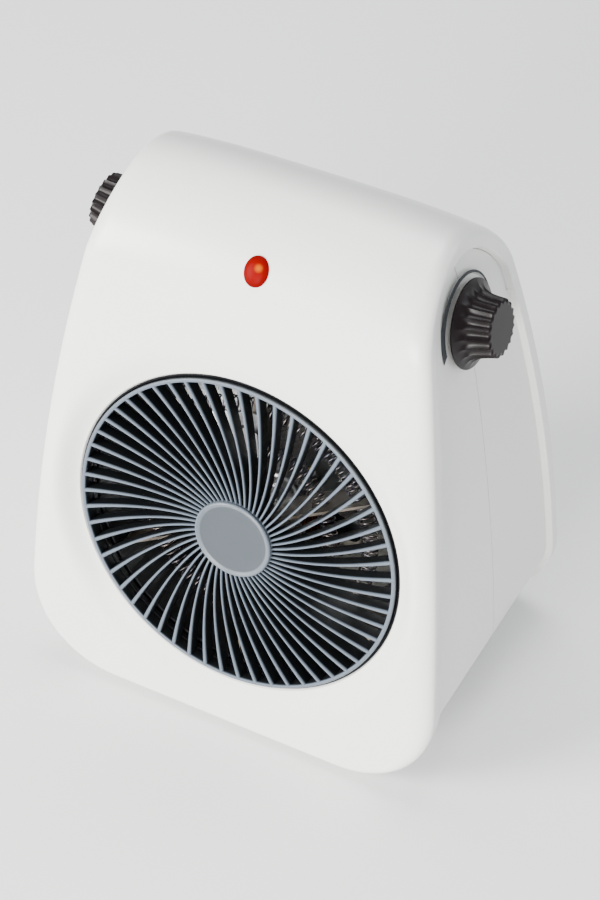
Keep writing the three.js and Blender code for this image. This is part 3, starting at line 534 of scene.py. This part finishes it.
# ---- Lens ----
def lens():
    """An oval dome: a quarter ellipse profile, taller than wide. Also gives its centre and the way up."""
    low, high = box_mm("indicator_lens")
    half_x = (high[0] - low[0]) / 2
    turn = np.arcsin((LENS_Z - CAP_START) / (HEIGHT - CAP_START))
    p = CAP_START + turn / (np.pi / 2) * CAP_LENGTH
    here = rolled(np.zeros(3), p + np.array([-0.4, 0, 0.4]), -1)
    up = here[2] - here[0]
    up /= np.linalg.norm(up)
    out = np.array([0, -up[2], up[1]])
    half_x *= LENS_SHARE
    half_z = half_x * LENS_OVAL
    t = np.linspace(0, np.pi / 2, 18)
    profile = [(0.9, -4.0), (1.0, -3.9), (1.0, -0.4)] + list(zip(np.cos(t), LENS_RISE * np.sin(t)))

    def place(a, b, h):
        return (here[1] + (a * half_x)[..., None] * [1.0, 0, 0] + (b * half_z)[..., None] * up
                + h[..., None] * out)
    return make("lens_dome", [turned([(0, -4.0)] + profile, place, 96)], sharp=50), here[1], up


# ---- Knobs ----
def knob(name, control):
    """A flared knob: a thin flange, a hollow flare and a grip. Hollow flutes shaped like a rectified cosine,
    with narrow ridges between them, run from the flange to the scalloped end, deepest on the grip."""
    flange, grip, length = KNOB_FLANGE, KNOB_GRIP, KNOB_LENGTH
    edge = length - KNOB_EDGE
    s = np.concatenate([[0, 0.0, 0.2, 0.6, 0.9], np.linspace(1.2, 7.5, 18), np.linspace(8, edge, 8),
                        edge + KNOB_EDGE * np.sin(np.linspace(0.2, 1, 6) * np.pi / 2), [length] * 4])
    fade = np.exp(-np.maximum(s - FLANGE_THICKNESS, 0) / 1.9)
    flare = grip * mix(1.08, 0.94, s / length) + (flange - 1.08 * grip) * fade
    end = np.clip((s - edge) / KNOB_EDGE, 0, 1)
    radius = np.where(s <= FLANGE_THICKNESS, flange, flare) - 0.9 * (1 - np.sqrt(1 - end ** 2))
    radius[:3] = [0, flange - 0.4, flange - 0.05]
    shrink = np.ones_like(s)
    shrink[-4:] = [0.94, 0.8, 0.4, 0]
    radius *= shrink
    depth = FLUTE_DEPTH * smooth(s, 0.8, 4.5)
    depth[-4:] = [1.1, 0.2, 0, 0]
    a = np.linspace(0, 2 * np.pi, FLUTES * 14, endpoint=False)[:, None]
    flute = np.abs(np.cos(a * FLUTES / 2)) ** 0.9
    r = np.maximum(radius - depth * flute, 0)
    grid = control.point(r, a, KNOB_START + s)
    return make(name, [(grid, grid_faces(len(a), len(s), wrap_rows=True))], sharp=55)


def scale_print(name, control, hand):
    """A printed wedge round a knob, just above the side panel: hair-thin behind, thickest towards the
    front, with a slanted end. Hand -1 mirrors it for the left side."""
    t = np.linspace(0, 1, 100)[:, None]
    w = np.linspace(0, 1, 9)[None]
    angle = np.radians(mix(-8.0, 187.0, t) + 4.0 * smooth(t, 0.93, 1.0) * w)
    radius = PRINT_RADIUS + mix(PRINT_THIN, PRINT_THICK, t ** 1.3) * w
    y = control.origin[1] + PRINT_OFFSET_Y + radius * np.cos(angle)
    z = control.origin[2] + PRINT_OFFSET_Z + radius * np.sin(angle) * control.up[2]
    panel = half_width(z - FOOT) - PANEL_RECESS
    layers = [np.stack([hand * (panel + lift), y, z], -1) for lift in (0.07, -0.2)]
    ring = np.concatenate([layers[0], layers[1][:, ::-1]], 1)
    ends = [ring[:1].mean(1, keepdims=True) + 0 * ring[:1], ring[-1:].mean(1, keepdims=True) + 0 * ring[-1:]]
    ring = np.concatenate([ends[0], ring, ends[1]])
    return make(name, [(ring, grid_faces(len(ring), ring.shape[1], wrap_columns=True))], sharp=30)


# ---- Inside ----
def helix(name, ring, radius, wire, pitch):
    """A wound resistance wire bent into a ring: a helix about a circle, with a round section."""
    turns = int(round(2 * np.pi * ring / pitch))
    per_turn, sides = 14, 6
    u = np.linspace(0, 2 * np.pi, turns * per_turn, endpoint=False)
    v = u * turns
    path = np.stack([(ring + radius * np.cos(v)) * np.cos(u), (ring + radius * np.cos(v)) * np.sin(u),
                     COIL_OUT + radius * np.sin(v)], -1)
    ahead = np.roll(path, -1, 0) - np.roll(path, 1, 0)
    ahead /= np.linalg.norm(ahead, axis=1, keepdims=True)
    outwards = path - np.stack([ring * np.cos(u), ring * np.sin(u), u * 0 + COIL_OUT], -1)
    outwards /= np.linalg.norm(outwards, axis=1, keepdims=True)
    beside = np.cross(ahead, outwards)
    w = np.linspace(0, 2 * np.pi, sides, endpoint=False)[None, :, None]
    grid = path[:, None] + wire * (np.cos(w) * outwards[:, None] + np.sin(w) * beside[:, None])
    place = fan_point(grid[..., 0], grid[..., 1], grid[..., 2])
    return make(name, [(place, grid_faces(len(u), sides, wrap_rows=True, wrap_columns=True))],
                weld=0.00001, sharp=80)


def fan_blade(index):
    """A cambered, twisted blade of sheet: pitch falls with radius, and the tip is rounded."""
    r = np.linspace(8, 63, 26)[:, None]
    c = np.linspace(-1, 1, 19)[None]
    half = mix(6, 22, smooth(r, 8, 52)) * np.sqrt(np.clip(1 - ((r - 8) / 55.5) ** 10 * 0.55, 0, 1))
    pitch = np.radians(mix(38, 21, (r - 8) / 55))
    swing = np.radians(mix(0, 10, ((r - 8) / 55) ** 2))
    camber = 2.2 * (1 - c * c) * smooth(r, 8, 30)
    chord = half * c
    across, height = chord * np.cos(pitch), chord * np.sin(pitch) + camber
    a = index * 2 * np.pi / FAN_BLADES + across / r + swing
    x, y = r * np.cos(a), r * np.sin(a)
    top, bottom = height + 0.45, height - 0.45
    upper, lower = (np.stack([x, y, side + FAN_OUT], -1) for side in (top, bottom))
    loop = np.concatenate([upper, lower[:, ::-1]], 1)
    root, tip = (row * 0 + row.mean(1, keepdims=True) for row in (loop[:1], loop[-1:]))
    loop = np.concatenate([root, loop, tip])
    place = fan_point(loop[..., 0], loop[..., 1], loop[..., 2])
    return place, grid_faces(loop.shape[0], loop.shape[1], wrap_columns=True)


def fan():
    """Blades round a domed hub with a collar."""
    t = np.linspace(0, np.pi / 2, 10)
    dome = [(11 - 3 * (1 - np.cos(k)), -47.5 + 3 * np.sin(k)) for k in t]
    hub = [(2.3, -60), (9, -60), (11, -58)] + dome + [(2.3, -44.5), (2.3, -60)]
    grids = [fan_blade(i) for i in range(FAN_BLADES)] + [turned(hub, fan_point, 64)]
    return make("fan_blades", grids, weld=0.001, sharp=40)


# ---- Materials ----
class Value:
    """A number socket of a material; sums, products and powers of these add Math nodes."""

    def __init__(self, tree, socket):
        self.tree, self.socket = tree, socket

    def node(self, kind, inputs=None, output=0, **settings):
        """Adds a node: settings first, then the values or links of its sockets."""
        made = self.tree.nodes.new("ShaderNode" + kind)
        stops = settings.pop("stops", None)
        for key, value in settings.items():
            setattr(made, key, value)
        if stops:
            ramp = made.color_ramp
            for _ in stops[2:]:
                ramp.elements.new(0.5)
            for element, (position, colour) in zip(ramp.elements, stops):
                element.position = position
            for element, (position, colour) in zip(ramp.elements, stops):
                element.color = (*colour, 1)
        for key, value in (inputs or {}).items():
            if isinstance(value, Value):
                self.tree.links.new(value.socket, made.inputs[key])
            else:
                made.inputs[key].default_value = value
        return Value(self.tree, made.outputs[output])

    def maths(self, operation, a, b=0.0):
        return self.node("Math", {0: a, 1: b}, operation=operation)

    def __add__(self, other):
        return self.maths("ADD", self, other)

    __radd__ = __add__

    def __sub__(self, other):
        return self.maths("SUBTRACT", self, other)

    def __rsub__(self, other):
        return self.maths("SUBTRACT", other, self)

    def __mul__(self, other):
        return self.maths("MULTIPLY", self, other)

    __rmul__ = __mul__

    def __truediv__(self, other):
        return self.maths("DIVIDE", self, other)

    def __pow__(self, other):
        return self.maths("POWER", self, other)

    def clamp(self, low, high):
        """0 at low, 1 at high, held outside."""
        return self.node("MapRange", {0: self, 1: low, 2: high, 3: 0.0, 4: 1.0})

    def blend(self, a, b):
        """Colour a where this is 0, colour b where it is 1."""
        return self.node("Mix", {0: self, 6: a, 7: b}, output=2, data_type="RGBA")


class Finish:
    """A material in the making: a Principled shader with the object's own coordinates at hand."""

    def __init__(self, name, colour, roughness, **constants):
        self.material = bpy.data.materials.new(name)
        self.material.use_nodes = True
        tree = self.material.node_tree
        self.shader = tree.nodes["Principled BSDF"]
        self.shader.inputs["Base Color"].default_value = (*colour, 1)
        self.shader.inputs["Roughness"].default_value = roughness
        for key, value in constants.items():
            self.shader.inputs[key.replace("_", " ")].default_value = value
        self.tree = tree
        self.place = Value(tree, tree.nodes.new("ShaderNodeTexCoord").outputs["Object"])
        self.colour, self.roughness = colour, roughness

    def set(self, key, value):
        self.tree.links.new(value.socket, self.shader.inputs[key])

    def noise(self, size_mm, detail=3.0, roughness=0.5, stretch=None):
        """Noise from 0 to 1 whose grain is about size_mm; stretch scales the axes first."""
        place = self.place
        if stretch:
            place = place.node("Mapping", {"Vector": place, "Scale": stretch})
        return place.node("TexNoise", {"Vector": place, "Scale": 1000 / size_mm, "Detail": detail,
                                       "Roughness": roughness})

    def away_mm(self, point):
        """Distance from a point of the frame, both in millimetres."""
        moved = self.place.node("Mapping", {"Vector": self.place, "Location": tuple(-point * MM)})
        return moved.node("VectorMath", {0: moved}, output=1, operation="LENGTH") * (1 / MM)

    def vary(self, mask, darker=0.92, other=None):
        """Colour moves from a darker (or another) tone to the base tone with the mask."""
        low = other or tuple(c * darker for c in self.colour)
        self.set("Base Color", mask.blend((*low, 1), (*self.colour, 1)))

    def rough(self, mask, spread):
        """Roughness spreads evenly about its base value with the mask."""
        self.set("Roughness", mask * (2 * spread) + (self.roughness - spread))

    def bump(self, height, depth_mm, strength=1.0):
        """Raises the surface by depth_mm where height is 1."""
        self.set("Normal", height.node("Bump", {"Height": height, "Strength": strength,
                                                "Distance": depth_mm * MM}))


def moulded(name, colour, roughness, grain=0.55, depth=0.02, cloud=60.0, darker=0.97, **constants):
    """Moulded plastic: a fine sparked grain, faint clouds in colour, and slight polish differences."""
    made = Finish(name, colour, roughness, **constants)
    clouds = made.noise(cloud, 2.0)
    fine = made.noise(grain, 2.0)
    made.vary(clouds.clamp(0.3, 0.7), darker)
    made.rough(clouds * 0.5 + fine * 0.5, 0.05)
    made.bump(fine, depth)
    return made.material


def metal(name, colour, roughness, stretch=(1.0, 1.0, 1.0), grain=1.2, depth=0.008, stain=0.85, **constants):
    """Bare metal: rolling or turning marks drawn out along one axis, and darker stains."""
    made = Finish(name, colour, roughness, Metallic=1.0, **constants)
    marks = made.noise(grain, 4.0, 0.6, stretch)
    stains = made.noise(14.0, 3.0)
    made.vary(stains.clamp(0.35, 0.65), stain)
    made.rough(marks, 0.12)
    made.bump(marks, depth)
    return made.material


def lens_red(centre, up):
    """Clear red moulding: deep red towards the rim, a warm glow where the lamp shines through, and fine
    prisms inside as rings."""
    made = Finish("lens_red", (0.09, 0.0, 0.0), 0.4, Specular_IOR_Level=0.03)
    away = made.away_mm(centre)
    glow = 1 - made.away_mm(centre + np.array([1.3, -1.6, 0]) + up * 2.6).clamp(0.2, 2.4)
    rim = away.clamp(3.6, 7.4)
    made.set("Base Color", rim.blend((0.10, 0.0, 0.0, 1), (0.03, 0.0, 0.0, 1)))
    made.set("Emission Color", (glow ** 1.3).blend((0.30, 0.0, 0.0, 1), (1.9, 0.50, 0.0, 1)))
    made.shader.inputs["Emission Strength"].default_value = 1.0
    prisms = (away * 5.2).maths("SINE", away * 5.2)
    made.bump(prisms * 0.5 + 0.5, 0.05, 0.35)
    return made.material


def finishes(lens_centre, lens_up):
    """Every material, by the record's slot."""
    return {
        "shell": moulded("shell_white", (0.80, 0.805, 0.775), 0.33, 0.5, 0.010, 90.0, 0.985,
                         Coat_Weight=0.12, Coat_Roughness=0.18),
        "grille": grille_grey(),
        "hub": hub_grey(),
        # The duct's near-black finish is painted shade for the inside of the heater.
        "duct": painted_shade_duct(),
        "dark": moulded("bezel_black", (0.006, 0.006, 0.008), 0.4, 0.4, 0.012, Specular_IOR_Level=0.3),
        "knob": moulded("knob_brown_black", (0.0065, 0.0036, 0.0042), 0.36, 0.5, 0.012, 12.0, 0.8,
                        Specular_IOR_Level=0.20),
        "lens": lens_red(lens_centre, lens_up),
        "glass": moulded("lamp_glass", (0.85, 0.55, 0.35), 0.08, 2.0, 0.01, 8.0, 0.9, Alpha=0.5),
        "steel": metal("zinc_steel", (0.40, 0.42, 0.43), 0.34, (1, 1, 6)),
        "aluminium": metal("pressed_aluminium", (0.62, 0.63, 0.64), 0.3, (6, 1, 1)),
        "lamination": metal("motor_laminations", (0.09, 0.095, 0.10), 0.5, (0.3, 8, 1.2), 2.0, 0.05, 0.7),
        "copper": winding(),
        "wire": heated_wire(),
        "mica": mica_board(),
        "brass": metal("turned_brass", (0.52, 0.34, 0.10), 0.28, (1, 1, 8)),
        "ceramic": moulded("steatite", (0.74, 0.70, 0.61), 0.5, 0.8, 0.03, 10.0, 0.9),
        "print": print_grey(),
        "rubber": moulded("foot_rubber", (0.012, 0.012, 0.013), 0.75, 0.7, 0.05, 10.0, 0.8),
        "plastic": moulded("black_moulding", (0.030, 0.031, 0.034), 0.45, 0.6, 0.02, 12.0, 0.85),
    }


def grille_grey():
    """Blue-grey moulding: fine grain, and painted shade that darkens the deeper parts of the blades."""
    made = Finish("grille_blue_grey", (0.088, 0.109, 0.138), 0.42, Specular_IOR_Level=0.35)
    out = made.place.node("VectorMath", {0: made.place, 1: tuple(FAN_AXIS)}, output=1,
                          operation="DOT_PRODUCT")
    level = (out - float(FACE_CENTRE @ FAN_AXIS) * MM) * (1 / MM)
    fine = made.noise(0.4, 2.0)
    # Painted shade: the colour fades to near black with depth behind the face, where the blades' sides and the
    # gaps between them fall into shadow.
    face = level.clamp(GRILLE_FACE - 1.1, GRILLE_FACE - 0.25)
    made.vary(face ** 1.3, other=(0.004, 0.005, 0.006))
    made.rough(fine, 0.05)
    made.bump(fine, 0.012)
    return made.material


def hub_grey():
    """Darker blue-grey cap with a satin face: faint turned rings, and a painted highlight that lightens the
    bevelled rim.
    """
    made = Finish("hub_blue_grey", (0.040, 0.049, 0.059), 0.36, Specular_IOR_Level=0.4)
    away = made.away_mm(fan_point(0, 0, GRILLE_FACE))
    rings = (away * 9.0).maths("SINE", away * 9.0) * 0.5 + 0.5
    cloud = made.noise(14.0, 3.0)
    # Painted highlight: the bevelled rim's lighter base colour stands in for light catching the bevel.
    rim = away.clamp(HUB - 2.6, HUB - 1.9)
    made.set("Base Color", rim.blend((*made.colour, 1), (0.095, 0.115, 0.138, 1)))
    made.rough(cloud * 0.7 + rings * 0.3, 0.08)
    made.bump(rings * 0.4 + made.noise(0.4, 2.0) * 0.6, 0.012)
    return made.material


def painted_shade_duct():
    """Near-black sheet whose colour paints the shade inside the heater: an uneven, dusty half gloss."""
    # Painted shade: the near-black base colour stands in for the shadow inside the housing.
    made = Finish("painted_shade_duct", (0.006, 0.0065, 0.009), 0.5, Specular_IOR_Level=0.3)
    dust = made.noise(9.0, 4.0)
    made.vary(dust.clamp(0.35, 0.75), other=(0.012, 0.012, 0.014))
    made.rough(dust, 0.12)
    made.bump(made.noise(0.8), 0.02)
    return made.material


def winding():
    """Enamelled copper wire laid side by side round a bobbin."""
    made = Finish("copper_winding", (0.36, 0.085, 0.02), 0.32, Metallic=0.9, Coat_Weight=0.4)
    turns = made.place.node("TexWave", {"Vector": made.place, "Scale": 190.0, "Distortion": 0.6},
                            wave_type="BANDS", bands_direction="X", output=1)
    made.vary(turns, 0.45)
    made.rough(made.noise(3.0), 0.08)
    made.bump(turns, 0.25)
    return made.material


def heated_wire():
    """Resistance wire: dull grey-brown oxide with straw and blue heat tints along it."""
    made = Finish("resistance_wire", (0.20, 0.17, 0.14), 0.38, Metallic=1.0)
    tint = made.noise(18.0, 2.0).clamp(0.35, 0.65)
    made.set("Base Color", tint.blend((0.24, 0.20, 0.17, 1), (0.15, 0.15, 0.19, 1)))
    made.rough(made.noise(0.8), 0.1)
    made.bump(made.noise(0.4), 0.02)
    return made.material


def mica_board():
    """Pressed mica: flaky layers in gold and brown with a pearly gloss."""
    made = Finish("mica_board", (0.17, 0.145, 0.115), 0.42, Specular_IOR_Level=0.6)
    flakes = made.place.node("TexVoronoi", {"Vector": made.place, "Scale": 260.0, "Randomness": 1.0})
    made.vary(flakes.clamp(0.0, 0.8), other=(0.10, 0.078, 0.055))
    made.rough(flakes.clamp(0.0, 1.0), 0.15)
    made.bump(made.noise(2.0, 5.0), 0.06)
    return made.material


def print_grey():
    """Grey pad-printing ink: matt, with slightly uneven cover."""
    made = Finish("printed_grey", (0.035, 0.040, 0.046), 0.6, Specular_IOR_Level=0.3)
    cover = made.noise(1.5, 3.0)
    made.vary(cover.clamp(0.2, 0.6), 0.85)
    made.rough(cover, 0.06)
    made.bump(cover, 0.004)
    return made.material


# ---- Camera, light and floor ----
AZIMUTH, ELEVATION, ROLL = np.radians((28.58, 42.345, -0.382))
DISTANCE = 1172.13
AIM = np.array([-26.9, 54.3, 58.7])
LENS = 97.27


def camera():
    """A long lens from above and to the right of the front."""
    a, e = AZIMUTH, ELEVATION
    back = np.array([np.sin(a) * np.cos(e), -np.cos(a) * np.cos(e), np.sin(e)])
    right = np.array([np.cos(a), np.sin(a), 0])
    up = np.cross(back, right)
    x = np.cos(ROLL) * right + np.sin(ROLL) * up
    y = np.cos(ROLL) * up - np.sin(ROLL) * right
    made = bpy.data.objects.new("camera", bpy.data.cameras.new("camera"))
    bpy.context.scene.collection.objects.link(made)
    pose = np.eye(4)
    pose[:3, :3] = np.stack([x, y, back], 1)
    pose[:3, 3] = (AIM + back * DISTANCE) * MM
    made.matrix_world = Matrix(pose)
    made.data.lens, made.data.sensor_width = LENS, 36.0
    made.data.clip_start, made.data.clip_end = 0.05, 50.0
    bpy.context.scene.camera = made


def area_light(name, place, target, size, power, colour=(1, 1, 1)):
    """A square soft box at a place, turned towards a target, in metres."""
    lamp = bpy.data.lights.new(name, "AREA")
    lamp.shape, lamp.size, lamp.energy, lamp.color = "SQUARE", size, power, colour
    made = bpy.data.objects.new(name, lamp)
    bpy.context.scene.collection.objects.link(made)
    aim = np.array(place, float) - target
    z = aim / np.linalg.norm(aim)
    x = np.cross([0.0, 0.0, 1.0], z) if abs(z[2]) < 0.99 else np.array([1.0, 0, 0])
    x /= np.linalg.norm(x)
    pose = np.eye(4)
    pose[:3, :3] = np.stack([x, np.cross(z, x), z], 1)
    pose[:3, 3] = place
    made.matrix_world = Matrix(pose)


def studio():
    """Even white surroundings, a large key from the left front, a weak fill, and a pale floor."""
    world = bpy.data.worlds.new("studio")
    bpy.context.scene.world = world
    world.use_nodes = True
    sky = world.node_tree.nodes["Background"]
    sky.inputs["Color"].default_value = (0.93, 0.96, 1.0, 1)
    sky.inputs["Strength"].default_value = 0.62
    middle = np.array([0, 0, 0.12])
    area_light("key", (-1.35, -1.45, 0.85), middle, 0.9, 100.0, (1.0, 0.985, 0.955))
    area_light("front", (0.12, -2.0, 0.55), middle, 0.7, 70.0, (1.0, 0.99, 0.97))
    area_light("top", (-0.2, 0.5, 1.9), middle, 1.0, 24.0)
    area_light("fill", (1.5, 1.2, 1.0), middle, 0.8, 9.0, (0.93, 0.97, 1.0))
    size = 6000.0
    corner = np.array([[-size, -size, 0], [size, -size, 0], [size, size, 0], [-size, size, 0]])
    floor = make("floor", [(corner, np.array([[0, 1, 2, 3]]))], clean=False)
    paper = Finish("paper_floor", (0.90, 0.90, 0.90), 0.75)
    paper.vary(paper.noise(400.0, 2.0), 0.99)
    floor.data.materials.append(paper.material)


# ---- Assembly ----
def dress(piece, material, body="housing", nodes=()):
    """Gives a new piece its material, its body and the CAD nodes it stands for."""
    piece.data.materials.clear()
    piece.data.materials.append(material)
    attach(piece, body)
    if nodes:
        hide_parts(*nodes)


camera()
studio()

thermostat, selector = Control("thermostat_turn"), Control("selector_turn")
dome, lens_centre, lens_up = lens()
slots = finishes(lens_centre, lens_up)

front_shell, rear_shell = housing([thermostat, selector])
dress(front_shell, slots["shell"], nodes=["front_cover"])
dress(rear_shell, slots["shell"], nodes=["rear_cover"])
dress(grille(), slots["grille"], nodes=["front_grille"])
dress(hub_cap(), slots["hub"], nodes=["grille_hub_cap"])
# The bezel's black stands in for the shadow in the gap round the grille.
dress(bezel(), slots["dark"], nodes=["grille_bezel"])
dress(dome, slots["lens"], nodes=["indicator_lens"])

for name, control in (("thermostat", thermostat), ("selector", selector)):
    dress(knob(name + "_knob_fluted", control), slots["knob"], name + "_control", [name + "_knob"])
    dress(scale_print(name + "_scale_print", control, np.sign(control.axis[0])), slots["print"])

for name, ring in (("inner", 36.0), ("outer", 56.0)):
    dress(helix(f"coil_{name}_wire", ring, COIL_RADIUS, COIL_WIRE, COIL_PITCH), slots["wire"],
          nodes=["heating_coil_" + name])
dress(fan(), slots["aluminium"], "fan_rotor", ["fan_impeller"])

for part in frame["record"]["subparts"]:
    node = frame["nodes"][part["node"]]
    node.data.materials.clear()
    # The air duct takes the near-black painted-shade finish instead of its slot's.
    node.data.materials.append(slots["duct" if part["node"] == "air_duct" else part["material_slot"]])
